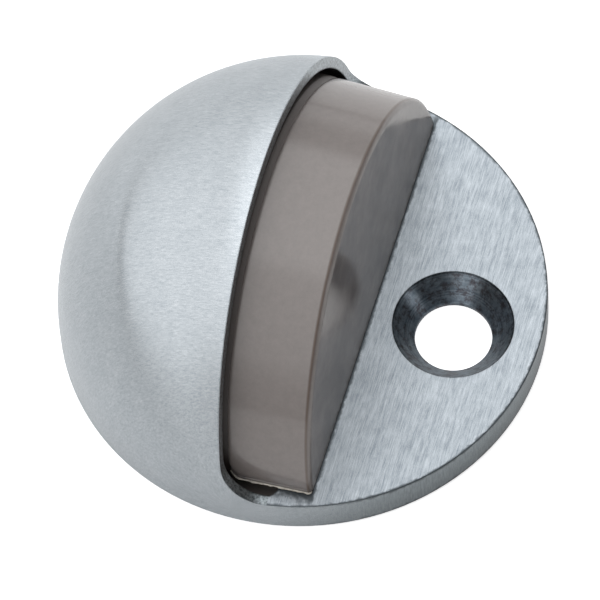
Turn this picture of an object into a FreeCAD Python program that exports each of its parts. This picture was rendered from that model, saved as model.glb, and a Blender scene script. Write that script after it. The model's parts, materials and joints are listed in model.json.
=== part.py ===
import FreeCAD, Part
import math
import os

from FreeCAD import Vector

# Dome floor stop. One cast body, a round plate with a hollow half dome over its rear half,
# and one moulded rubber bumper, whose block stands out of the opening on a tail inside the dome.
# Frame: origin at the centre of the base on the floor, +Z up, -Y towards the door.
# Lengths are in millimetres and angles in degrees.

# Outside of the cast body
base_diameter = 47.6
crown_height = 25.9             # crown of the dome's arc, of which the opening cuts off the tip
skirt_height = 2.1              # straight side between the floor and the start of the dome
plate_height = 4.0              # top face of the plate
base_edge_chamfer = 0.25        # bottom outer edge

# Opening of the dome
opening_setback = 1.1           # cut face behind the centre, measured at the plate's top
opening_lean = 5.4              # the cut face leans back from the door
foot_radius = 4.5               # hollow radius that runs the cut face out into the plate

# Inside of the cast body
side_wall = 1.0
crown_wall = 1.25
cavity_skirt_height = 1.5       # straight side of the cavity below its domed part
cavity_lead = 0.6               # the cavity's straight front edge, ahead of the hollow radius
cavity_corner_radius = 1.2
recess_depth = 1.1              # underside of the plate, above the floor
recess_rim = 2.0                # width of the foot left round that recess

# Countersunk screw hole
screw_hole_diameter = 7.5
sink_diameter = 11.8
sink_angle = 82.0
sink_edge_land = 2.8            # flat metal between the countersink and the plate's edge

# Rubber bumper
arch_gap = 1.2                  # from the arch at its striking face out to the cavity, seen from the front
arch_draft = 2.0                # the arch grows towards the rear
seat_length = 3.65              # how far the bumper lies on the plate, ahead of the cavity
face_lean = 5.1                 # the striking face leans back from the door
face_edge_chamfer = 0.28
shoulder_recess = 0.1           # the block ends behind the cut face by this
shoulder_chamfer = 0.6
shoulder_foot_radius = 2.0      # bottom rear corner of the block, seen from the side
block_turn = 0.8                # the block sits a little askew: clockwise, seen from above
block_shift = 0.2               # and this far to the right
tail_inset = 2.65               # the tail inside the dome is smaller than the block's arch by this
cavity_clearance = 0.1          # between the rubber and the inside of the casting
floor_clearance = 0.3           # the rubber ends above the floor, so that the metal takes the load
flange_height = 1.5             # flange at the floor that fills the cavity's outline

# Cored pockets in the bumper's underside
pocket_web = 3.0                # rubber left between the two pockets
pocket_width = 9.5
pocket_length = 8.0
pocket_depth = 11.0
pocket_front_wall = 9.25        # rubber between the striking face and the pockets
pocket_corner_radius = 1.8
pocket_draft = 2.0
sketch_thickness = 1.0          # thickness of the plates that a pocket's two outlines are taken from

# Values worked out from the sizes above
base_radius = base_diameter / 2
cavity_radius = base_radius - side_wall
cavity_height = crown_height - crown_wall
foot_turn = math.radians(90 + opening_lean)     # between the plate's top and the cut face
foot_run = foot_radius / math.tan(foot_turn / 2)
cavity_front = opening_setback - foot_run - cavity_lead
hole_radius = screw_hole_diameter / 2
sink_radius = sink_diameter / 2
hole_y = -(base_radius - sink_edge_land - sink_radius)
arch_radius = cavity_radius - arch_gap
face_y = cavity_front - seat_length
tail_radius = arch_radius - tail_inset
tail_end = math.sqrt((cavity_radius - cavity_clearance) ** 2 - tail_radius ** 2)
past = 5.0                      # how far a cutting solid runs past what it cuts


def box_between(low, high):
    """Box from its lowest to its highest corner."""
    size = high - low
    return Part.makeBox(size.x, size.y, size.z, low)


def dome_solid(radius, straight_height, height, bottom):
    """Turned solid: a straight side, then one arc up to a round crown."""
    rise = height - straight_height
    arc_radius = (radius ** 2 + rise ** 2) / (2 * rise)
    centre = Vector(0, 0, height - arc_radius)
    start_angle = math.atan2(straight_height - centre.z, radius)
    middle_angle = (start_angle + math.pi / 2) / 2
    middle = centre + Vector(0, math.cos(middle_angle), math.sin(middle_angle)) * arc_radius
    axis_foot = Vector(0, 0, bottom)
    side_foot = Vector(0, radius, bottom)
    shoulder = Vector(0, radius, straight_height)
    crown = Vector(0, 0, height)
    outline = Part.Wire([
        Part.makeLine(axis_foot, side_foot),
        Part.makeLine(side_foot, shoulder),
        Part.Arc(shoulder, middle, crown).toShape(),
        Part.makeLine(crown, axis_foot),
    ])
    return Part.Face(outline).revolve(Vector(0, 0, 0), Vector(0, 0, 1), 360)


def prism_along_x(outline, half_width):
    """Solid swept along X, the same way on both sides, from a closed wire in the YZ plane."""
    face = Part.Face(outline)
    face.translate(Vector(-half_width, 0, 0))
    return face.extrude(Vector(2 * half_width, 0, 0))


def space_ahead(setback, radius):
    """All above the plate and ahead of a face that leans as the opening does, with a round foot."""
    lean = math.radians(opening_lean)
    up_the_face = Vector(0, math.sin(lean), math.cos(lean))
    top = crown_height + past
    run = radius / math.tan(foot_turn / 2)
    corner = Vector(0, setback, plate_height)
    foot_start = corner - Vector(0, run, 0)
    foot_end = corner + up_the_face * run
    foot_centre = foot_start + Vector(0, 0, radius)
    bisector = corner - foot_centre
    foot_middle = foot_centre + bisector * (radius / bisector.Length)
    face_top = corner + up_the_face * ((top - plate_height) / math.cos(lean))
    far_top = Vector(0, -base_radius - past, top)
    far_foot = Vector(0, -base_radius - past, plate_height)
    outline = Part.Wire([
        Part.makeLine(far_foot, foot_start),
        Part.Arc(foot_start, foot_middle, foot_end).toShape(),
        Part.makeLine(foot_end, face_top),
        Part.makeLine(face_top, far_top),
        Part.makeLine(far_top, far_foot),
    ])
    return prism_along_x(outline, base_radius + past)


def outer_form():
    """Outside of the casting with its opening cut, and no cavity."""
    opening = space_ahead(opening_setback, foot_radius)
    form = dome_solid(base_radius, skirt_height, crown_height, 0).cut(opening)
    base = [edge for edge in form.Edges if edge.BoundBox.ZMax < skirt_height / 2]
    return form.makeChamfer(base_edge_chamfer, base)


def cavity_form(clearance):
    """Form of the cavity, smaller all round by a clearance: a dome with a straight front edge."""
    radius = cavity_radius - clearance
    front = cavity_front + clearance
    plan = Part.makeCylinder(radius, crown_height + past, Vector(0, 0, -past))
    ahead = box_between(
        Vector(-base_radius - past, -base_radius - past, -2 * past),
        Vector(base_radius + past, front, crown_height + past),
    )
    plan = plan.cut(ahead)
    corners = [
        edge for edge in plan.Edges
        if edge.BoundBox.YMax < front + 0.01 and edge.BoundBox.ZLength > crown_height
    ]
    plan = plan.makeFillet(cavity_corner_radius, corners)
    return plan.common(dome_solid(radius, cavity_skirt_height, cavity_height - clearance, -past))


def underside_recess():
    """Shallow round recess that leaves the casting standing on its rim."""
    return Part.makeCylinder(base_radius - recess_rim, recess_depth + past, Vector(0, 0, -past))


def screw_hole():
    """Through hole with its countersink."""
    centre = Vector(0, hole_y, 0)
    slope = math.tan(math.radians(sink_angle) / 2)
    sink_depth = (sink_radius - hole_radius) / slope
    hole = Part.makeCylinder(hole_radius, plate_height + past, centre + Vector(0, 0, -past))
    sink = Part.makeCone(
        hole_radius,
        sink_radius + past * slope,
        sink_depth + past,
        centre + Vector(0, 0, plate_height - sink_depth),
    )
    return hole.fuse(sink)


def dome_body():
    """The cast body."""
    body = outer_form()
    for tool in (cavity_form(0), underside_recess(), screw_hole()):
        body = body.cut(tool)
    return body


def bumper_block():
    """Arched block that lies on the plate, from its leaning face to a shoulder in the opening."""
    draft = math.tan(math.radians(arch_draft))
    lean = math.tan(math.radians(face_lean))
    start = face_y - past
    length = base_radius - start
    cone = Part.makeCone(
        arch_radius - past * draft,
        arch_radius + (length - past) * draft,
        length,
        Vector(0, start, cavity_skirt_height),
        Vector(0, 1, 0),
    )
    top = crown_height + past
    ahead = Part.makePolygon([
        Vector(0, face_y, plate_height),
        Vector(0, face_y + (top - plate_height) * lean, top),
        Vector(0, start - past, top),
        Vector(0, start - past, plate_height - past),
        Vector(0, face_y - past * lean, plate_height - past),
        Vector(0, face_y, plate_height),
    ])
    block = cone.common(space_ahead(opening_setback + shoulder_recess, shoulder_foot_radius))
    block = block.cut(prism_along_x(ahead, base_radius + past))
    middle = (face_y + opening_setback) / 2
    tall = [edge for edge in block.Edges if edge.BoundBox.ZLength > arch_radius / 2]
    front_arch = [edge for edge in tall if edge.BoundBox.YMax < middle]
    block = block.makeChamfer(face_edge_chamfer, front_arch)
    tall = [edge for edge in block.Edges if edge.BoundBox.ZLength > arch_radius / 2]
    rear_arch = [edge for edge in tall if edge.BoundBox.YMin > middle]
    block = block.makeChamfer(shoulder_chamfer, rear_arch)
    block.rotate(Vector(0, 0, 0), Vector(0, 0, 1), -block_turn)
    block.translate(Vector(block_shift, 0, 0))
    return block


def tail():
    """Smaller arch that runs back from the block to the inside of the dome, down to the floor."""
    start = Vector(0, cavity_front, cavity_skirt_height)
    arch = Part.makeCylinder(tail_radius, tail_end - cavity_front, start, Vector(0, 1, 0))
    sides = box_between(
        Vector(-tail_radius, cavity_front, floor_clearance),
        Vector(tail_radius, tail_end, cavity_skirt_height),
    )
    below = box_between(
        Vector(-base_radius, cavity_front - past, -base_radius),
        Vector(base_radius, base_radius, cavity_skirt_height),
    )
    return arch.cut(below).fuse(sides)


def flange():
    """Slab at the floor, cut to the cavity's outline, that stops behind the plate's edge."""
    return box_between(
        Vector(-base_radius, cavity_front, floor_clearance),
        Vector(base_radius, base_radius, floor_clearance + flange_height),
    )


def cored_pocket(side):
    """One tapered pocket, cored from below; side is 1 for +X and -1 for -X."""
    middle_x = side * (pocket_web + pocket_width) / 2
    middle_y = face_y + pocket_front_wall + pocket_length / 2
    shrink = pocket_depth * math.tan(math.radians(pocket_draft))
    wires = []
    for level, inset in ((0, 0), (pocket_depth, shrink)):
        half_x = pocket_width / 2 - inset
        half_y = pocket_length / 2 - inset
        corner = Vector(middle_x - half_x, middle_y - half_y, floor_clearance + level)
        plate = Part.makeBox(2 * half_x, 2 * half_y, sketch_thickness, corner)
        uprights = [edge for edge in plate.Edges if edge.BoundBox.ZLength > sketch_thickness / 2]
        plate = plate.makeFillet(pocket_corner_radius, uprights)
        floor_face = min(plate.Faces, key=lambda face: face.CenterOfMass.z)
        wires.append(floor_face.OuterWire)
    return Part.makeLoft(wires, True, True)


def rubber_bumper():
    """The moulded bumper: what lies inside the casting is trimmed to its cavity, with a clearance."""
    inside = tail().fuse(flange()).common(cavity_form(cavity_clearance))
    bumper = bumper_block().fuse(inside).removeSplitter()
    for side in (-1, 1):
        bumper = bumper.cut(cored_pocket(side))
    return bumper


os.makedirs("parts", exist_ok=True)
for name, shape in (("dome_body", dome_body()), ("rubber_bumper", rubber_bumper())):
    solid = shape.Solids[0]
    if len(shape.Solids) != 1 or not solid.isValid():
        raise ValueError("%s isn't one sound solid" % name)
    solid.exportStep("parts/%s.step" % name)
    print(name, "volume %.1f mm3" % solid.Volume, "faces", len(solid.Faces))
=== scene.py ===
import json
import math

import bmesh
import bpy
from mathutils import Matrix, Vector, noise
from mathutils.bvhtree import BVHTree


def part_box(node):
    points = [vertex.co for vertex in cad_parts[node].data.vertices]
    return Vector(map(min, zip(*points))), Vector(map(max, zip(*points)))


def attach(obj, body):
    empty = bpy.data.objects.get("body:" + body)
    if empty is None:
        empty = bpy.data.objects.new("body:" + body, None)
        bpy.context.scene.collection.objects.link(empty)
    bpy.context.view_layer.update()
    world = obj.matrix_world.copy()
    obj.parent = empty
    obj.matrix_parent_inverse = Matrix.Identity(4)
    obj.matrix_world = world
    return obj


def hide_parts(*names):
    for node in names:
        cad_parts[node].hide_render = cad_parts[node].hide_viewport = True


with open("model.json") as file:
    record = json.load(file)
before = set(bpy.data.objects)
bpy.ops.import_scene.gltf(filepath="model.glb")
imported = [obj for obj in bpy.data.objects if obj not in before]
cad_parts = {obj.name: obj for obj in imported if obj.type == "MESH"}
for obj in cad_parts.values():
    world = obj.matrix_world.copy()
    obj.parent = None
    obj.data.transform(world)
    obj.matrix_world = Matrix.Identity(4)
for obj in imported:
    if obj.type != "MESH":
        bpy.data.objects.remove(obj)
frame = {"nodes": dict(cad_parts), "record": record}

bl_info = {
    "name": "Dome floor door stop",
    "version": (1, 0, 0),
    "blender": (4, 5, 0),
    "location": "3D View > Sidebar > Door stop",
    "description": "Finishes a cast dome door stop and its rubber bumper, and sets up a plain studio",
    "category": "Object",
}

MM = 0.001
SAME_LEVEL = 0.01 * MM          # heights that differ by less than this are one


def largest_face(mesh, towards):
    """Middle and normal of the largest flat face that looks one way, from its many small ones."""
    areas = {}
    for polygon in mesh.polygons:
        if polygon.normal.dot(towards) > 0.99:      # within 8 degrees
            side = tuple(round(n, 3) for n in polygon.normal)
            key = side, round(polygon.center.dot(polygon.normal), 5)
            areas.setdefault(key, []).append(polygon)
    face = max(areas.values(), key=lambda found: sum(polygon.area for polygon in found))
    return face[0].center.copy(), face[0].normal.copy()


def corners_at(mesh, level):
    """The mesh's corners at one height."""
    return [v.co.copy() for v in mesh.vertices if abs(v.co.z - level) < SAME_LEVEL]


# Places and sizes read from the frame, in metres
BODY = frame["nodes"]["dome_body"]
BUMPER = frame["nodes"]["rubber_bumper"]
HOLE = Vector(next(m["pos_m"] for m in frame["record"]["mounts"] if m["name"] == "screw_hole"))
BASE_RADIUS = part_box("dome_body")[1].y
PLATE_TOP = largest_face(BODY.data, Vector((0, 0, 1)))[0].z
PLATE_RADIUS = max(corner.xy.length for corner in corners_at(BODY.data, PLATE_TOP))
FOOT_REACH = max(corner.x for corner in corners_at(BUMPER.data, PLATE_TOP))
FACE_POINT, FACE_NORMAL = largest_face(BUMPER.data, Vector((0, -1, 0)))    # the striking face

# Sizes that the frame doesn't give
DOME_CENTRE = Vector((0, 0, 2.1 * MM))      # the dome is part of a ball round this point
SINK_RADIUS = 5.9 * MM          # of the countersink, at the plate's top
ARCH_AXIS = 1.5 * MM            # height of the axis of the bumper's arch
BLOCK_TURN = math.radians(-0.8)     # the bumper sits this much askew in the opening
BLOCK_SHIFT = 0.2 * MM          # and this far to the right
OPENING_LEAN = math.radians(5.4)    # the opening leans back by this

# How the faces of the casting are told apart: how far they may lie from a surface, and their normals
SINK_MARGIN = 0.2 * MM          # outside the countersink's rim
PLATE_MARGIN = 0.02 * MM        # above or below the plate's top
EDGE_MARGIN = 0.4 * MM          # inside the base radius, on the plate's upright edge
DOME_MARGIN = 0.1 * MM          # under the dome's surface
OPENING_DEPTH = 2 * MM          # under it too, on the opening's face
OPENING_FOOT = 0.1 * MM         # below the plate's top, where that face runs out
LEVEL = 0.999                   # the normal of a level face has a greater Z than this
STEEP = 0.8                     # and that of an upright one has a smaller Z than this
OUTWARD = 0.9                   # least share of the normal that points away from the dome's centre

# Sizes of the marks in the chrome
RELIEF_DEPTH = 0.01 * MM        # of the brush lines and the grit
WIDE_BAND = 0.27                # scale of the wider bands in the brushing, against single lines
DOME_CLOUD = 2.5 * MM           # faint clouds on the dome
PLATE_CLOUD = 1.6 * MM          # and on the plate
WALL_LINE = 0.16 * MM           # width of the upright lines on the plate's edge
WALL_LINE_LENGTH = 1 * MM
CUT_GRIT = 0.25 * MM            # sparkle of the opening's face
SINK_CLOUD = 0.7 * MM           # clouds of stain in the countersink
SINK_BLOTCH = 0.9 * MM          # blotches of dirt over them
HOLLOW_GRIT = 0.6 * MM          # unevenness of the casting underneath

# Lines of painted shade along the edges: their width as a share of the finish's edge shade
SHADE_UNDER_RIM = 1.2            # under the plate's rim
SHADE_AT_FLOOR = 2.2             # along the floor
SINK_RIM_LINE = 0.7              # inside the countersink's rim
EDGE_LINE_TEAR = 0.6 * MM            # length of the ragged parts along a line
SHADOW_BESIDE = 0.22              # in the bumper's painted shadow, a distance beside the block counts for this share of one ahead of it

# Where the dome runs into the darker colour of the plate's ground edge
WALL_FROM = -1 * MM             # the plate's ground edge sets in at this Y
WALL_FULL = -17 * MM            # and is full from this one towards the door
WALL_FADE_ABOVE = 4 * MM        # upwards it ends this far above the plate's top
WALL_FULL_BELOW = 1 * MM        # and is full from this far below it
CUT_FOOT = 2.2 * MM             # over this height the opening's face takes on the colour of the edge

# Marks in the rubber
EDGE_SHADE_HALF = 0.22 * MM      # half the width of the painted shade along the rounded front edge
EDGE_SHADE_CORE = 0.03 * MM      # half the width of its darkest part
FACE_SKIN = 0.1 * MM            # what lies less than this behind the striking face belongs to it
SCUFF = 4 * MM                  # size of the clouds that doors have rubbed into that face
FLASH_CLOUD = 0.4 * MM          # size of the flash's uneven patches
GAP_SHADE_UPPER = 20 * MM             # behind the block painted shade grows from this height
GAP_SHADE_LOWER = 9 * MM              # down to this one
RUBBER_IOR = 1.5
SHEEN_IOR = 1.7                 # matched to the sheen of the block in the photo, which is stronger

# Flash along the bumper's bottom edges
FLASH_FROM_AXIS = 20 * MM       # the block's bottom edges lie further out than this
FLASH_UP_THE_FOOT = 1.5 * MM    # how far it follows the round foot behind the bottom edge
FLASH_STEP = 0.1 * MM
FLASH_FILL = 0.62 * MM          # size of the broken edge that it fills
FLASH_PROBE = 0.5 * MM          # the block's bottom is looked for from this far below the plate's top
FLASH_ROOT = 0.12 * MM          # the flash leaves the block's side this far above the block's bottom
FLASH_TIP = 0.05 * MM           # and its free edge is this far above it
FLASH_TEAR = 0.9 * MM           # length of the larger tears along it
FLASH_MEAN = 0.45               # its usual reach, as a share of its full reach
FLASH_SPREAD = 0.5              # the share that the tears give or take
FLASH_LEAST = 0.1               # the share that is left in the deepest ones

# Band of rubber behind the block's shoulder, which is seen in the gap round the block
SHOULDER_FOOT = 1.2 * MM        # Y of the block's rear face at the plate
SHOULDER_START = math.radians(9)    # angle of the band's ends above the level of the arch's axis
SHOULDER_STEPS = 96
# Its section: radius from the arch's axis, and distance behind the block's rear face
SHOULDER_SECTION = (
    (21.76 * MM, -0.45 * MM),
    (21.95 * MM, 0.2 * MM),
    (22.05 * MM, 2 * MM),
    (20 * MM, 2 * MM),
    (20 * MM, -0.3 * MM),
)

FLOOR_HALF = 2.0                # half the side of the floor's sheet, in metres
CARD_LIT_FROM = 60 * MM         # the white in reflections grows over this, on both sides of the part

# Soft patches of the tent: azimuth, elevation, reach in degrees, and what the middle of each adds
TENT_PATCHES = (
    (200, 40, 75, 0.35),        # bright backdrop behind the dome
    (-20, 5, 95, -0.75),        # dim side where the door would be
    (-3, 13, 12, 5.0),          # slit of light on that side
    (-105, 8, 24, -0.45),       # dark gap at the floor, left of the part
    (95, 25, 14, -0.4),         # darker strip beside the panel
)
PANEL_TILT = (-14, 54)          # overhead panel, from the vertical towards +X, in degrees
PANEL_DEPTH = (-0.25, 0.5)      # and from front to back, as the Y of its directions
PANEL_SOFT_EDGE = 5             # in degrees
FRONT_DEPTH = (-0.32, -0.12)    # the door's side is dimmer, from the one to the other Y of its directions
FRONT_LEVEL = 0.28
SEAM_ELEVATION = 5              # the tent is darker up to this above the floor
SEAM_LEVEL = 0.45

# The photograph's view, in degrees and millimetres
VIEW_AZIMUTH = -70.893
VIEW_ELEVATION = 60.011
VIEW_ROLL = -4.058
VIEW_DISTANCE = 568.3
VIEW_LEFT = 0.366               # the camera's own shift to its left
VIEW_UP = 1.051                 # and upwards
VIEW_LENS = 350.2
VIEW_SENSOR = 36


def linear(colour):
    """Linear colour from an sRGB hex value such as a8b0b4."""
    channels = [int(colour[i:i + 2], 16) / 255 for i in (0, 2, 4)]
    return [c / 12.92 if c <= 0.04045 else ((c + 0.055) / 1.055) ** 2.4 for c in channels]


def colour_property(name, description, colour):
    """A colour that a user can change, from its sRGB hex value."""
    return bpy.props.FloatVectorProperty(
        name=name, description=description, subtype="COLOR", size=3, min=0, max=1, default=linear(colour),
    )


def length_property(name, description, millimetres):
    """A small length that a user can change."""
    return bpy.props.FloatProperty(
        name=name, description=description, unit="LENGTH", precision=5, min=0, default=millimetres * MM,
    )


def strength_property(name, description, strength):
    """A strength of light that a user can change."""
    return bpy.props.FloatProperty(name=name, description=description, min=0, default=strength)


class ChromeFinish(bpy.types.PropertyGroup):
    """Colours and grain of the satin chrome"""

    dome: colour_property("Dome", "Brushed chrome of the half dome", "cfd4d8")
    dome_streak: colour_property("Dome streaks", "Darker lines of the dome's brushing", "9aa2a8")
    plate: colour_property("Plate", "Brushed chrome of the plate's top", "c3cad0")
    plate_streak: colour_property("Plate streaks", "Darker lines of the plate's brushing", "79828a")
    # Darker than the dome; blended in low on the door's side
    wall: colour_property("Wall", "Duller chrome on the plate's upright edge", "929a9e")
    cut: colour_property("Opening", "Milled face round the dome's opening", "9aa1a5")
    sink: colour_property("Countersink", "Machined chrome of the countersink", "a8b4be")
    sink_stain: colour_property("Countersink stain", "Blue black stain left in the countersink", "54616d")
    sink_dirt: colour_property("Countersink dirt", "Brown black blotches of dirt over the stain", "46393a")
    hollow: colour_property("Underside", "Plating over the bare casting underneath", "747b7e")
    # Colour of the dark specks of dirt, and of the painted shade along the edges
    specks_and_edge_shade: colour_property("Smudges", "Specks, and dirt along the edges", "464c50")
    # The real brush lines, grit and tool rings are finer: they are drawn as coarse as they need to show
    line_width: length_property("Brush line width", "Width of one line of the brushing", 0.1)
    dome_line: length_property("Dome line length", "Length of one line of the dome's brushing", 0.9)
    plate_line: length_property("Plate line length", "Length of one line of the plate's brushing", 1.6)
    grit_width: length_property("Grit width", "Size of the small marks that the grit left", 0.08)
    ring_width: length_property("Tool ring width", "Spacing of the countersink's tool rings", 0.16)
    edge_break: length_property("Edge break", "Radius that polishing leaves on the edges", 0.22)
    # Width of the line of painted shade along an edge
    edge_shade: length_property("Edge dirt", "Width of the dark line of dirt along an edge", 0.2)


class RubberFinish(bpy.types.PropertyGroup):
    """Colours and edges of the moulded rubber"""

    body: colour_property("Rubber", "Warm grey of the moulded skin", "837c79")
    # Colour of the painted shade along the rounded front edge
    edge: colour_property("Edge", "Browner line where the skin is thin along the edges", "5c4c41")
    # Dirt with painted contact shade at the face's foot, and painted shade in the gap behind the block
    dirt: colour_property("Dirt", "Dirt at the face's foot and in the gap behind the block", "2a221e")
    flash: colour_property("Flash", "Pale ragged flash along the bottom edges", "cfc9be")
    mottle: length_property("Mottle", "Size of the faint cloudiness in the skin", 0.8)
    edge_break: length_property("Edge break", "Radius that the mould leaves on the edges", 0.5)
    # Where the painted shade along the rounded front edge lies
    edge_shade_line: length_property("Edge line", "How far behind the striking face the browner line lies", 0.36)
    # Height of the dirt and painted contact shade at the face's foot
    foot_dirt_shade_height: length_property("Dirt height", "How far up the striking face the dirt reaches", 0.3)
    flash_reach: length_property("Flash reach", "How far the flash stands out from the side, at most", 0.3)


class StudioLight(bpy.types.PropertyGroup):
    """Floor and light of the plain studio"""

    floor: colour_property("Floor", "Matt white card under the part", "ededed")
    seen_glow: strength_property("Floor glow, seen", "White added to the card where it is seen", 0.72)
    mirrored_glow: strength_property(
        "Floor glow, mirrored", "White added to the card in reflections on the right", 0.25,
    )
    tent: strength_property("Tent", "Strength of the white tent", 1.0)
    overhead: strength_property("Overhead light", "Strength that the overhead panel adds", 0.6)


def add_node(owner, kind, inputs=None, output=0, **settings):
    """Adds a node to a material or a world and returns one of its outputs.

    Values, colours and other nodes' outputs go on its inputs by name or number, and settings on the node.
    """
    node = owner.node_tree.nodes.new(kind)
    for name, value in settings.items():
        setattr(node, name, value)
    for name, value in (inputs or {}).items():
        socket = node.inputs[name]
        if isinstance(value, bpy.types.NodeSocket):
            owner.node_tree.links.new(value, socket)
        elif socket.type == "RGBA":
            socket.default_value = (*value, 1)
        else:
            socket.default_value = value
    return node.outputs[output] if node.outputs else node


def blend(material, share, first, second):
    """A colour between two: all the first where the share is 0, and all the second where it is 1."""
    return add_node(material, "ShaderNodeMix", {0: share, 6: first, 7: second}, 2, data_type="RGBA")


def toned(material, colour, tone):
    """A colour made darker by a tone below 1, and lighter by one above it."""
    return add_node(material, "ShaderNodeVectorMath", {0: colour, 3: tone}, operation="SCALE")


def new_material(name):
    """An empty material, and the coordinates of its surface on the part."""
    material = bpy.data.materials.new(name)
    material.use_nodes = True
    material.node_tree.nodes.clear()
    return material, add_node(material, "ShaderNodeTexCoord", output="Object")


def finish_material(material, shader_inputs):
    """Ends a material in a Principled shader with these inputs."""
    shader = add_node(material, "ShaderNodeBsdfPrincipled", shader_inputs)
    add_node(material, "ShaderNodeOutputMaterial", {"Surface": shader})
    return material


def specks(material, where, spacing, radius, share):
    """Mask of small round specks: this share of the cells of a given spacing has one."""
    cells = {"Vector": where, "Scale": 1 / spacing}
    near = add_node(material, "ShaderNodeTexVoronoi", cells)
    drawn = add_node(material, "ShaderNodeTexVoronoi", cells, "Color")
    chosen = add_node(material, "ShaderNodeMath", {0: drawn, 1: share}, operation="LESS_THAN")
    inside = add_node(material, "ShaderNodeMapRange", {
        "Value": near, "From Min": radius / spacing, "From Max": 0.5 * radius / spacing,
    })
    return add_node(material, "ShaderNodeMath", {0: chosen, 1: inside}, operation="MULTIPLY")


def grain_tone(material, layers, spread):
    """Tone of worked metal from 0 to 1, and its first layer.

    The layers of noise are added up. Each has its coordinates, scale, detail and share, and the shares
    make 1. The tone runs from 0 to 1 within the spread on both sides of the middle.
    """
    total = 0.0
    marks = []
    for place, scale, detail, share in layers:
        marks.append(add_node(material, "ShaderNodeTexNoise", {
            "Vector": place, "Scale": scale, "Detail": detail, "Roughness": 0.7,
        }))
        total = add_node(material, "ShaderNodeMath", {
            0: marks[-1], 1: share, 2: total,
        }, operation="MULTIPLY_ADD")
    tone = add_node(material, "ShaderNodeMapRange", {
        "Value": total, "From Min": 0.5 - spread, "From Max": 0.5 + spread,
    })
    return tone, marks[0]


def dirt_and_shade_line(material, where, from_edge, width):
    """Mask of a ragged dark line along an edge, from the distance to that edge.

    On the chrome it is painted shade along the plate's edges, the bumper's painted shadow, and a darker
    line inside the countersink's rim; at the rubber's foot it is dirt with painted contact shade. From
    place to place it reaches between 0.5 and 1.7 times its width, and it fades out at its border.
    """
    ragged = add_node(material, "ShaderNodeTexNoise", {
        "Vector": where, "Scale": 1 / EDGE_LINE_TEAR, "Detail": 3.0,
    })
    reach = add_node(material, "ShaderNodeMapRange", {
        "Value": ragged, "From Min": 0.3, "From Max": 0.7, "To Min": 0.5 * width, "To Max": 1.7 * width,
    })
    share = add_node(material, "ShaderNodeMath", {0: from_edge, 1: reach}, operation="DIVIDE")
    return add_node(material, "ShaderNodeMapRange", {
        "Value": share, "From Min": 1.3, "From Max": 0.4, "To Max": 0.9,
    })


def one_way(material, axis):
    """The direction of an axis, along which a brushed face draws out its highlights."""
    return add_node(material, "ShaderNodeCombineXYZ", {axis: 1.0})


def satin_chrome(material, finish, colour, height, tangent, relief, roughness, anisotropic):
    """Ends a material as satin chrome, with the relief of its grain and its edges slightly broken."""
    eased = add_node(material, "ShaderNodeBevel", {"Radius": finish.edge_break}, samples=6)
    normal = add_node(material, "ShaderNodeBump", {
        "Strength": relief, "Distance": RELIEF_DEPTH, "Height": height, "Normal": eased,
    })
    return finish_material(material, {
        "Base Color": colour,
        "Metallic": 1.0,
        "Roughness": roughness,
        "Anisotropic": anisotropic,
        "Normal": normal,
        "Tangent": tangent,
    })


def lines_round_x(material, where, width, length):
    """Coordinates of lines that run round the X axis through the dome's centre."""
    centred = add_node(material, "ShaderNodeVectorMath", {0: where, 1: DOME_CENTRE}, operation="SUBTRACT")
    x, y, z = (add_node(material, "ShaderNodeSeparateXYZ", {0: centred}, axis) for axis in "XYZ")
    angle = add_node(material, "ShaderNodeMath", {0: z, 1: y}, operation="ARCTAN2")
    along = add_node(material, "ShaderNodeMath", {0: angle, 1: BASE_RADIUS / length}, operation="MULTIPLY")
    across = add_node(material, "ShaderNodeMath", {0: x, 1: 1 / width}, operation="MULTIPLY")
    return add_node(material, "ShaderNodeCombineXYZ", {"X": across, "Y": along})


def dome_brushing(material, where, finish):
    """Colour of the dome's brushing, and its single lines."""
    lines = lines_round_x(material, where, finish.line_width, finish.dome_line)
    tone, fine = grain_tone(material, (
        (lines, 1.0, 2.0, 0.38),
        (lines, WIDE_BAND, 2.0, 0.14),
        (where, 1 / finish.grit_width, 1.0, 0.38),
        (where, 1 / DOME_CLOUD, 4.0, 0.1),
    ), spread=0.17)
    return blend(material, tone, finish.dome_streak, finish.dome), fine


def ground_edge(material, where, finish):
    """Colour of the plate's edge: it was ground upright, so its lines are short and stand on end."""
    upright = add_node(material, "ShaderNodeVectorMath", {
        0: where, 1: (1 / WALL_LINE, 1 / WALL_LINE, 1 / WALL_LINE_LENGTH),
    }, operation="MULTIPLY")
    tone = add_node(material, "ShaderNodeTexNoise", {"Vector": upright, "Scale": 1.0, "Detail": 3.0})
    tone = add_node(material, "ShaderNodeMapRange", {
        "Value": tone, "From Min": 0.3, "From Max": 0.7, "To Min": 0.85, "To Max": 1.15,
    })
    return toned(material, finish.wall, tone)


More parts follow.
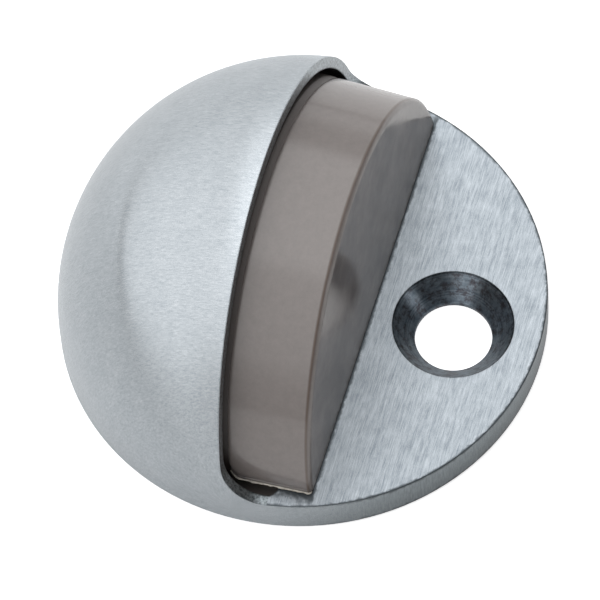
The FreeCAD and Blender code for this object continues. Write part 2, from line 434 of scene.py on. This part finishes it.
def dome_chrome(finish):
    """Brushed by a belt that ran round the X axis; low on the door's side it turns into the darker plate
    edge.

    The lines give the eye arcs that meet at the dome's sides, and a highlight that is drawn out across
    them. Shade is painted under the plate's rim and along the floor, and a few dark specks of dirt lie all
    over.
    """
    material, where = new_material("satin_chrome_brushed_dome")
    brushed, fine = dome_brushing(material, where, finish)
    y, z = (add_node(material, "ShaderNodeSeparateXYZ", {0: where}, axis) for axis in "YZ")
    on_wall = add_node(material, "ShaderNodeMapRange", {
        "Value": y, "From Min": WALL_FROM, "From Max": WALL_FULL,
    }, interpolation_type="SMOOTHSTEP")
    low = add_node(material, "ShaderNodeMapRange", {
        "Value": z, "From Min": PLATE_TOP + WALL_FADE_ABOVE, "From Max": PLATE_TOP - WALL_FULL_BELOW,
    }, interpolation_type="SMOOTHSTEP")
    share = add_node(material, "ShaderNodeMath", {0: on_wall, 1: low}, operation="MULTIPLY")
    both = blend(material, share, brushed, ground_edge(material, where, finish))
    below_top = add_node(material, "ShaderNodeMath", {0: PLATE_TOP, 1: z}, operation="SUBTRACT")
    # Painted shade under the plate's rim and along the floor, and dark specks of dirt
    rim_shade_line = dirt_and_shade_line(material, where, below_top, SHADE_UNDER_RIM * finish.edge_shade)
    rim_shade_line = add_node(material, "ShaderNodeMath", {0: rim_shade_line, 1: share}, operation="MULTIPLY")
    floor_shade_line = dirt_and_shade_line(material, where, z, SHADE_AT_FLOOR * finish.edge_shade)
    floor_shade_line = add_node(material, "ShaderNodeMath", {0: floor_shade_line, 1: on_wall}, operation="MULTIPLY")
    dark = add_node(material, "ShaderNodeMath", {0: rim_shade_line, 1: floor_shade_line}, operation="MAXIMUM")
    dark = add_node(material, "ShaderNodeMath", {
        0: dark, 1: specks(material, where, spacing=1.8 * MM, radius=0.1 * MM, share=0.04),
    }, operation="MAXIMUM")
    return satin_chrome(
        material, finish, blend(material, dark, both, finish.specks_and_edge_shade), fine, one_way(material, "X"),
        relief=0.25, roughness=0.25, anisotropic=1.0,
    )


def from_bumper(material, where):
    """Distance on the plate from the bumper's foot, for its painted shadow; beside the bumper it grows more
    slowly.
    """
    from_face = add_node(material, "ShaderNodeVectorMath", {
        0: where, 1: FACE_POINT,
    }, operation="SUBTRACT")
    ahead = add_node(material, "ShaderNodeVectorMath", {
        0: from_face, 1: FACE_NORMAL,
    }, "Value", operation="DOT_PRODUCT")
    x = add_node(material, "ShaderNodeSeparateXYZ", {0: where}, "X")
    off_middle = add_node(material, "ShaderNodeMath", {0: x}, operation="ABSOLUTE")
    beside = add_node(material, "ShaderNodeMath", {
        0: off_middle, 1: SHADOW_BESIDE, 2: -SHADOW_BESIDE * FOOT_REACH,
    }, operation="MULTIPLY_ADD")
    return add_node(material, "ShaderNodeMath", {0: ahead, 1: beside}, operation="MAXIMUM")


def plate_chrome(finish):
    """Brushed along X and handled: straight lines and specks of dirt, with painted shade at the rim and the
    bumper.
    """
    material, where = new_material("satin_chrome_brushed_plate")
    lines = add_node(material, "ShaderNodeVectorMath", {
        0: where, 1: (1 / finish.plate_line, 1 / finish.line_width, 1 / MM),
    }, operation="MULTIPLY")
    tone, fine = grain_tone(material, (
        (lines, 1.0, 3.0, 0.4),
        (lines, WIDE_BAND, 2.0, 0.2),
        (where, 1 / finish.grit_width, 1.0, 0.2),
        (where, 1 / PLATE_CLOUD, 5.0, 0.2),
    ), spread=0.13)
    brushed = blend(material, tone, finish.plate_streak, finish.plate)
    flat = add_node(material, "ShaderNodeVectorMath", {0: where, 1: (1, 1, 0)}, operation="MULTIPLY")
    from_axis = add_node(material, "ShaderNodeVectorMath", {0: flat}, "Value", operation="LENGTH")
    from_rim = add_node(material, "ShaderNodeMath", {0: PLATE_RADIUS, 1: from_axis}, operation="SUBTRACT")
    dark = specks(material, where, spacing=1.3 * MM, radius=0.11 * MM, share=0.07)
    # Painted shade along the rim, and the bumper's painted shadow on the plate
    for distance in (from_rim, from_bumper(material, where)):
        line = dirt_and_shade_line(material, where, distance, finish.edge_shade)
        dark = add_node(material, "ShaderNodeMath", {0: dark, 1: line}, operation="MAXIMUM")
    return satin_chrome(
        material, finish, blend(material, dark, brushed, finish.specks_and_edge_shade), fine, one_way(material, "Y"),
        relief=0.35, roughness=0.3, anisotropic=0.8,
    )


def cut_chrome(finish):
    """Milled and then blasted: a dark face with a sparkle, in the edge's colour where it meets the plate.

    The real sparkle is finer: it is drawn as coarse as it needs to show.
    """
    material, where = new_material("satin_chrome_milled_opening")
    grit = add_node(material, "ShaderNodeTexNoise", {
        "Vector": where, "Scale": 1 / CUT_GRIT, "Detail": 2.0, "Roughness": 0.8,
    })
    tone = add_node(material, "ShaderNodeMapRange", {
        "Value": grit, "From Min": 0.35, "From Max": 0.65, "To Min": 0.5, "To Max": 1.4,
    })
    height = add_node(material, "ShaderNodeSeparateXYZ", {0: where}, "Z")
    low = add_node(material, "ShaderNodeMapRange", {
        "Value": height, "From Min": PLATE_TOP + CUT_FOOT, "From Max": PLATE_TOP,
    }, interpolation_type="SMOOTHSTEP")
    colour = toned(material, blend(material, low, finish.cut, finish.wall), tone)
    return satin_chrome(
        material, finish, colour, grit, one_way(material, "Y"),
        relief=0.6, roughness=0.3, anisotropic=0.0,
    )


def sink_chrome(finish):
    """Turned with a countersink: rings round the hole, clouded by a blue black stain and brown dirt."""
    material, where = new_material("stained_chrome_turned_countersink")
    out = add_node(material, "ShaderNodeVectorMath", {
        0: where, 1: (HOLE.x, HOLE.y, 0),
    }, operation="SUBTRACT")
    out = add_node(material, "ShaderNodeVectorMath", {0: out, 1: (1, 1, 0)}, operation="MULTIPLY")
    radius = add_node(material, "ShaderNodeVectorMath", {0: out}, "Value", operation="LENGTH")
    rings = add_node(material, "ShaderNodeTexNoise", {
        "Vector": add_node(material, "ShaderNodeCombineXYZ", {"X": radius}),
        "Scale": 1 / finish.ring_width, "Detail": 2.0, "Roughness": 0.7,
    })
    cloud = add_node(material, "ShaderNodeTexNoise", {
        "Vector": where, "Scale": 1 / SINK_CLOUD, "Detail": 5.0, "Roughness": 0.7,
    })
    tone = add_node(material, "ShaderNodeMix", {0: 0.5, 2: rings, 3: cloud})
    tone = add_node(material, "ShaderNodeMapRange", {"Value": tone, "From Min": 0.34, "From Max": 0.66})
    turned = blend(material, tone, finish.sink_stain, finish.sink)
    blotch = add_node(material, "ShaderNodeTexNoise", {
        "Vector": where, "Scale": 1 / SINK_BLOTCH, "Detail": 6.0, "Roughness": 0.75,
    })
    blotch = add_node(material, "ShaderNodeMapRange", {
        "Value": blotch, "From Min": 0.46, "From Max": 0.6, "To Max": 0.7,
    })
    turned = blend(material, blotch, turned, finish.sink_dirt)
    from_rim = add_node(material, "ShaderNodeMath", {0: SINK_RADIUS, 1: radius}, operation="SUBTRACT")
    # A darker line inside the countersink's rim
    dark = dirt_and_shade_line(material, where, from_rim, SINK_RIM_LINE * finish.edge_shade)
    return satin_chrome(
        material, finish, blend(material, dark, turned, finish.specks_and_edge_shade), rings, out,
        relief=0.35, roughness=0.3, anisotropic=0.8,
    )


def hollow_chrome(finish):
    """As cast under thin plating: uneven and dull."""
    material, where = new_material("chrome_plated_cast_underside")
    grit = add_node(material, "ShaderNodeTexNoise", {
        "Vector": where, "Scale": 1 / HOLLOW_GRIT, "Detail": 4.0, "Roughness": 0.7,
    })
    tone = add_node(material, "ShaderNodeMapRange", {"Value": grit, "To Min": 0.7, "To Max": 1.3})
    return satin_chrome(
        material, finish, toned(material, finish.hollow, tone), grit, one_way(material, "Y"),
        relief=1.0, roughness=0.5, anisotropic=0.0,
    )


DOME, PLATE, CUT, SINK, HOLLOW = range(5)


def finish_of(centre, normal):
    """Number of the finish that a face of the casting gets, from its middle and its normal."""
    from_dome = centre - DOME_CENTRE
    from_axis = math.hypot(centre.x, centre.y)
    from_hole = math.hypot(centre.x - HOLE.x, centre.y - HOLE.y)
    if from_hole < SINK_RADIUS + SINK_MARGIN and normal.z < LEVEL:
        return SINK
    if normal.z > LEVEL and abs(centre.z - PLATE_TOP) < PLATE_MARGIN:
        return PLATE
    if from_axis > BASE_RADIUS - EDGE_MARGIN and abs(normal.z) < STEEP and centre.z < PLATE_TOP:
        return DOME
    outward = normal.dot(from_dome) > OUTWARD * from_dome.length
    if from_dome.length > BASE_RADIUS - DOME_MARGIN and outward:
        return DOME
    over_plate = centre.z > PLATE_TOP - OPENING_FOOT
    if normal.y < 0 and over_plate and from_dome.length > BASE_RADIUS - OPENING_DEPTH:
        return CUT
    return HOLLOW


class CastBody(bpy.types.Operator):
    """Gives each face of the casting the finish that it was worked to"""

    bl_idname = "doorstop.cast_body"
    bl_label = "Cast body"

    def execute(self, context):
        finish = context.scene.doorstop_chrome
        casting = bpy.data.objects.new("satin_casting", BODY.data.copy())
        context.scene.collection.objects.link(casting)
        casting.data.materials.clear()
        for make in (dome_chrome, plate_chrome, cut_chrome, sink_chrome, hollow_chrome):
            casting.data.materials.append(make(finish))
        for polygon in casting.data.polygons:
            polygon.material_index = finish_of(polygon.center, polygon.normal)
        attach(casting, "root")
        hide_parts(BODY.name)
        return {"FINISHED"}


def shaded_front_edge(material, behind, skin, finish):
    """Skin colour with painted brown shade along the rounded front edge, from the distance behind the face.
    """
    off_shade = add_node(material, "ShaderNodeMath", {0: behind, 1: finish.edge_shade_line}, operation="SUBTRACT")
    off_shade = add_node(material, "ShaderNodeMath", {0: off_shade}, operation="ABSOLUTE")
    on_shade = add_node(material, "ShaderNodeMapRange", {
        "Value": off_shade, "From Min": EDGE_SHADE_HALF, "From Max": EDGE_SHADE_CORE, "To Max": 0.75,
    }, interpolation_type="SMOOTHSTEP")
    return blend(material, on_shade, skin, finish.edge)


def scuffed(material, scuff, on_face, least, elsewhere, most):
    """A value that runs from least to most in the scuffs of the striking face, and is even elsewhere."""
    value = add_node(material, "ShaderNodeMapRange", {
        "Value": scuff, "From Min": 0.35, "From Max": 0.65, "To Min": least, "To Max": most,
    })
    return add_node(material, "ShaderNodeMix", {0: on_face, 2: elsewhere, 3: value})


def moulded_rubber(finish):
    """Moulded warm grey rubber: a smooth glossy skin with a faint cloudiness, and painted brown shade at
    its front edge.

    The striking face is clouded where doors have rubbed it, and has dirt with painted contact shade at the
    plate.
    """
    material, where = new_material("moulded_grey_rubber")
    cloud = add_node(material, "ShaderNodeTexNoise", {
        "Vector": where, "Scale": 1 / finish.mottle, "Detail": 8.0, "Roughness": 0.75,
    })
    tone = add_node(material, "ShaderNodeMapRange", {"Value": cloud, "To Min": 0.8, "To Max": 1.2})
    skin = toned(material, finish.body, tone)
    from_face = add_node(material, "ShaderNodeVectorMath", {
        0: where, 1: FACE_POINT,
    }, operation="SUBTRACT")
    behind = add_node(material, "ShaderNodeVectorMath", {
        0: from_face, 1: -FACE_NORMAL,
    }, "Value", operation="DOT_PRODUCT")
    on_face = add_node(material, "ShaderNodeMath", {0: behind, 1: FACE_SKIN}, operation="LESS_THAN")
    scuff = add_node(material, "ShaderNodeTexNoise", {
        "Vector": where, "Scale": 1 / SCUFF, "Detail": 2.5, "Roughness": 0.5,
    })
    shade = scuffed(material, scuff, on_face, least=0.85, elsewhere=1.0, most=1.15)
    roughness = scuffed(material, scuff, on_face, least=0.12, elsewhere=0.15, most=0.18)
    clean = toned(material, shaded_front_edge(material, behind, skin, finish), shade)
    # Dirt and painted contact shade at the striking face's foot
    height = add_node(material, "ShaderNodeSeparateXYZ", {0: where}, "Z")
    height = add_node(material, "ShaderNodeMath", {0: height, 1: PLATE_TOP}, operation="SUBTRACT")
    foot_dirt_and_shade = add_node(material, "ShaderNodeMath", {
        0: on_face, 1: dirt_and_shade_line(material, where, height, finish.foot_dirt_shade_height),
    }, operation="MULTIPLY")
    return finish_material(material, {
        "Base Color": blend(material, foot_dirt_and_shade, clean, finish.dirt),
        "Roughness": roughness,
        "IOR": SHEEN_IOR,
        "Normal": add_node(material, "ShaderNodeBevel", {"Radius": finish.edge_break}, samples=8),
    })


def flash_rubber(finish):
    """Thin torn edge of the same rubber: it is pale, because light comes through it."""
    material, where = new_material("moulded_rubber_flash")
    cloud = add_node(material, "ShaderNodeTexNoise", {
        "Vector": where, "Scale": 1 / FLASH_CLOUD, "Detail": 3.0,
    })
    tone = add_node(material, "ShaderNodeMapRange", {
        "Value": cloud, "From Min": 0.3, "From Max": 0.7, "To Min": 0.6, "To Max": 1.1,
    })
    return finish_material(material, {
        "Base Color": toned(material, finish.flash, tone), "Roughness": 0.4, "IOR": RUBBER_IOR,
    })


def shaded_gap_rubber(finish):
    """Rubber in the gap behind the block: dull, with painted shade that darkens it downwards."""
    material, where = new_material("moulded_rubber_gap_shade")
    z = add_node(material, "ShaderNodeSeparateXYZ", {0: where}, "Z")
    share = add_node(material, "ShaderNodeMapRange", {
        "Value": z, "From Min": GAP_SHADE_UPPER, "From Max": GAP_SHADE_LOWER, "To Min": 0.5, "To Max": 0.95,
    })
    colour = blend(material, share, finish.body, finish.dirt)
    return finish_material(material, {"Base Color": colour, "Roughness": 0.45, "IOR": RUBBER_IOR})


def add_strip(scene, name, sections, materials, lip=None):
    """Closed strip of rubber through sections that each list their points in the same order.

    The side that starts at the point numbered lip gets the second material, and all else the first.
    """
    strip = bmesh.new()
    rings = [[strip.verts.new(point) for point in section] for section in sections]
    for near, far in zip(rings, rings[1:]):
        for i in range(len(near)):
            j = (i + 1) % len(near)
            face = strip.faces.new((near[i], near[j], far[j], far[i]))
            face.material_index = int(i == lip)
    for end in (rings[0], rings[-1]):
        strip.faces.new(end)
    bmesh.ops.recalc_face_normals(strip, faces=strip.faces)
    mesh = bpy.data.meshes.new(name)
    strip.to_mesh(mesh)
    strip.free()
    for material in materials:
        mesh.materials.append(material)
    piece = bpy.data.objects.new(name, mesh)
    scene.collection.objects.link(piece)
    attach(piece, "root")


def flash_sections(finish, side):
    """Sections of the strip that fills the block's broken bottom edge on one side, with its ragged lip.

    Their points are on the block's side, at the root and at the tip of the lip, and underneath.
    """
    points = [v.co for v in BUMPER.data.vertices]
    block = BVHTree.FromPolygons(points, [p.vertices for p in BUMPER.data.polygons])
    bottom_edge = [p.y for p in corners_at(BUMPER.data, PLATE_TOP) if side * p.x > FLASH_FROM_AXIS]
    front = min(bottom_edge) + FLASH_STEP
    length = max(bottom_edge) + FLASH_UP_THE_FOOT - front
    steps = round(length / FLASH_STEP)
    sections = []
    for step in range(steps + 1):
        y = front + length * step / steps
        below = Vector((side * FLASH_FROM_AXIS, y, PLATE_TOP - FLASH_PROBE))
        bottom = block.ray_cast(below, Vector((0, 0, 1)))[0].z
        beside = Vector((side * BASE_RADIUS, y, bottom + FLASH_FILL))
        edge = block.ray_cast(beside, Vector((-side, 0, 0)))[0]
        torn = noise.fractal(Vector((side, y / FLASH_TEAR, 0)), 1.0, 2.0, 4)
        reach = finish.flash_reach * min(max(FLASH_MEAN + FLASH_SPREAD * torn, FLASH_LEAST), 1)
        sections.append((
            edge,
            Vector((edge.x, y, bottom + FLASH_ROOT)),
            Vector((edge.x + side * reach, y, bottom + FLASH_TIP)),
            Vector((edge.x - side * FLASH_FILL, y, bottom)),
        ))
    return sections


def shoulder_sections():
    """Sections of the band that carries the block's arch back into the opening, round the tail."""
    turn = Matrix.Rotation(BLOCK_TURN, 3, "Z")
    shift = Vector((BLOCK_SHIFT, 0, 0))
    sections = []
    for step in range(SHOULDER_STEPS + 1):
        angle = SHOULDER_START + (math.pi - 2 * SHOULDER_START) * step / SHOULDER_STEPS
        section = []
        for radius, back in SHOULDER_SECTION:
            z = ARCH_AXIS + radius * math.sin(angle)
            y = SHOULDER_FOOT + (z - PLATE_TOP) * math.tan(OPENING_LEAN) + back
            section.append(turn @ Vector((radius * math.cos(angle), y, z)) + shift)
        sections.append(section)
    return sections


class RubberBumper(bpy.types.Operator):
    """Gives the bumper its moulded rubber, its flash and the band behind its block, which has painted shade
    """

    bl_idname = "doorstop.rubber_bumper"
    bl_label = "Rubber bumper"

    def execute(self, context):
        scene = context.scene
        finish = scene.doorstop_rubber
        skin = moulded_rubber(finish)
        flash = flash_rubber(finish)
        BUMPER.material_slots[0].material = skin
        for name, side in (("bumper_flash_left", -1), ("bumper_flash_right", 1)):
            add_strip(scene, name, flash_sections(finish, side), (skin, flash), lip=1)
        # The band behind the block carries painted shade
        add_strip(scene, "bumper_shoulder", shoulder_sections(), (shaded_gap_rubber(finish),))
        return {"FINISHED"}


def white_card(light):
    """Matt white card: it keeps shadows, and a little white is added where it is seen or mirrored.

    Under the screw hole its glow is full white: painted light that takes the shadow out of the hole.
    What is mirrored is brighter on the right, as a card is that is lit from there.
    """
    material, where = new_material("matt_white_card")
    camera, glossy, through = (
        add_node(material, "ShaderNodeLightPath", output="Is %s Ray" % kind)
        for kind in ("Camera", "Glossy", "Transmission")
    )
    seen = add_node(material, "ShaderNodeMath", {0: camera, 1: through}, operation="MAXIMUM")
    from_hole = add_node(material, "ShaderNodeVectorMath", {
        0: where, 1: (HOLE.x, HOLE.y, 0),
    }, "Value", operation="DISTANCE")
    # Painted light: under the screw hole the card glows full white, so no shadow shows in the hole
    painted_light_under_hole = add_node(material, "ShaderNodeMath", {0: from_hole, 1: SINK_RADIUS}, operation="LESS_THAN")
    level = add_node(material, "ShaderNodeMath", {0: painted_light_under_hole, 1: light.seen_glow}, operation="MAXIMUM")
    seen = add_node(material, "ShaderNodeMath", {0: seen, 1: level}, operation="MULTIPLY")
    x = add_node(material, "ShaderNodeSeparateXYZ", {0: where}, "X")
    lit = add_node(material, "ShaderNodeMapRange", {
        "Value": x, "From Min": -CARD_LIT_FROM, "From Max": CARD_LIT_FROM, "To Max": light.mirrored_glow,
    }, interpolation_type="SMOOTHSTEP")
    mirrored = add_node(material, "ShaderNodeMath", {0: glossy, 1: lit}, operation="MULTIPLY")
    strength = add_node(material, "ShaderNodeMath", {0: seen, 1: mirrored}, operation="ADD")
    card = add_node(material, "ShaderNodeBsdfDiffuse", {"Color": light.floor})
    glow = add_node(material, "ShaderNodeEmission", {"Color": (1, 1, 1), "Strength": strength})
    both = add_node(material, "ShaderNodeAddShader", {0: card, 1: glow})
    add_node(material, "ShaderNodeOutputMaterial", {"Surface": both})
    return material


def add_floor(scene, light):
    """A wide pale sheet under the part."""
    mesh = bpy.data.meshes.new("floor")
    sheet = bmesh.new()
    bmesh.ops.create_grid(sheet, x_segments=1, y_segments=1, size=FLOOR_HALF)
    sheet.to_mesh(mesh)
    sheet.free()
    mesh.materials.append(white_card(light))
    floor = bpy.data.objects.new("floor", mesh)
    scene.collection.objects.link(floor)


def direction(azimuth, elevation):
    """Direction from the part towards a place round it, both in degrees; azimuth 0 is the door's side."""
    a = math.radians(azimuth)
    e = math.radians(elevation)
    return Vector((math.sin(a) * math.cos(e), -math.cos(a) * math.cos(e), math.sin(e)))


def add_tent(scene, light):
    """White light tent: a panel overhead, brightest behind the dome and dim on the door's side."""
    tent = bpy.data.worlds.new("light_tent")
    tent.use_nodes = True
    tent.node_tree.nodes.clear()
    where = add_node(tent, "ShaderNodeTexCoord", output="Generated")
    x, y, z = (add_node(tent, "ShaderNodeSeparateXYZ", {0: where}, axis) for axis in "XYZ")
    total = light.tent
    for azimuth, elevation, reach, gain in TENT_PATCHES:
        toward = add_node(tent, "ShaderNodeVectorMath", {
            0: where, 1: direction(azimuth, elevation),
        }, "Value", operation="DOT_PRODUCT")
        patch = add_node(tent, "ShaderNodeMapRange", {
            "Value": toward, "From Min": math.cos(math.radians(reach)), "From Max": 1.0, "To Max": gain,
        }, interpolation_type="SMOOTHSTEP")
        total = add_node(tent, "ShaderNodeMath", {0: total, 1: patch}, operation="ADD")
    tilt = add_node(tent, "ShaderNodeMath", {0: x, 1: z}, operation="ARCTAN2")
    panel = light.overhead
    soft = math.radians(PANEL_SOFT_EDGE)
    for place, (low, high) in (
        (tilt, [math.radians(angle) for angle in PANEL_TILT]),
        (y, PANEL_DEPTH),
    ):
        for edge, inward in ((low, 1), (high, -1)):
            inside = add_node(tent, "ShaderNodeMapRange", {
                "Value": place, "From Min": edge - inward * soft, "From Max": edge + inward * soft,
            }, interpolation_type="SMOOTHSTEP")
            panel = add_node(tent, "ShaderNodeMath", {0: panel, 1: inside}, operation="MULTIPLY")
    total = add_node(tent, "ShaderNodeMath", {0: total, 1: panel}, operation="ADD")
    for place, (dim, full), level in (
        (y, FRONT_DEPTH, FRONT_LEVEL),
        (z, (0.0, math.sin(math.radians(SEAM_ELEVATION))), SEAM_LEVEL),
    ):
        dimmed = add_node(tent, "ShaderNodeMapRange", {
            "Value": place, "From Min": dim, "From Max": full, "To Min": level, "To Max": 1.0,
        }, interpolation_type="SMOOTHSTEP")
        total = add_node(tent, "ShaderNodeMath", {0: total, 1: dimmed}, operation="MULTIPLY")
    glow = add_node(tent, "ShaderNodeBackground", {"Color": (1, 1, 1), "Strength": total})
    add_node(tent, "ShaderNodeOutputWorld", {"Surface": glow})
    scene.world = tent


def add_camera(scene):
    """The photograph's view, fitted to the base, the hole and the dome."""
    back = direction(VIEW_AZIMUTH, VIEW_ELEVATION)
    azimuth = math.radians(VIEW_AZIMUTH)
    roll = math.radians(VIEW_ROLL)
    level = Vector((math.cos(azimuth), math.sin(azimuth), 0))
    right = math.cos(roll) * level + math.sin(roll) * back.cross(level)
    up = back.cross(right)
    data = bpy.data.cameras.new("camera")
    data.sensor_width = VIEW_SENSOR
    data.lens = VIEW_LENS
    camera = bpy.data.objects.new("camera", data)
    camera.matrix_world = Matrix((right, up, back)).transposed().to_4x4()
    camera.location = back * VIEW_DISTANCE * MM - right * VIEW_LEFT * MM + up * VIEW_UP * MM
    scene.collection.objects.link(camera)
    scene.camera = camera


class Studio(bpy.types.Operator):
    """Sets up the pale floor, the light tent and the camera"""

    bl_idname = "doorstop.studio"
    bl_label = "Studio"

    def execute(self, context):
        light = context.scene.doorstop_light
        add_floor(context.scene, light)
        add_tent(context.scene, light)
        add_camera(context.scene)
        context.scene.view_settings.view_transform = "Standard"
        return {"FINISHED"}


class PiecesPanel(bpy.types.Panel):
    """Lists the pieces, the stage and their settings"""

    bl_idname = "DOORSTOP_PT_pieces"
    bl_label = "Dome door stop"
    bl_space_type = "VIEW_3D"
    bl_region_type = "UI"
    bl_category = "Door stop"

    def draw(self, context):
        for operator in (CastBody, RubberBumper, Studio):
            self.layout.operator(operator.bl_idname)
        for name, group in SETTINGS:
            box = self.layout.box()
            for item in group.__annotations__:
                box.prop(getattr(context.scene, name), item)


SETTINGS = (
    ("doorstop_chrome", ChromeFinish),
    ("doorstop_rubber", RubberFinish),
    ("doorstop_light", StudioLight),
)
CLASSES = (ChromeFinish, RubberFinish, StudioLight, CastBody, RubberBumper, Studio, PiecesPanel)


def register():
    """Registers the classes and puts their settings on the scene."""
    for cls in CLASSES:
        bpy.utils.register_class(cls)
    for name, group in SETTINGS:
        setattr(bpy.types.Scene, name, bpy.props.PointerProperty(type=group))


def unregister():
    """Takes the settings and the classes away again."""
    for name, _ in SETTINGS:
        delattr(bpy.types.Scene, name)
    for cls in reversed(CLASSES):
        bpy.utils.unregister_class(cls)


def main():
    """Makes every piece and the stage."""
    register()
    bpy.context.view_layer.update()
    bpy.ops.doorstop.cast_body()
    bpy.ops.doorstop.rubber_bumper()
    bpy.ops.doorstop.studio()


if __name__ == "__main__":
    main()
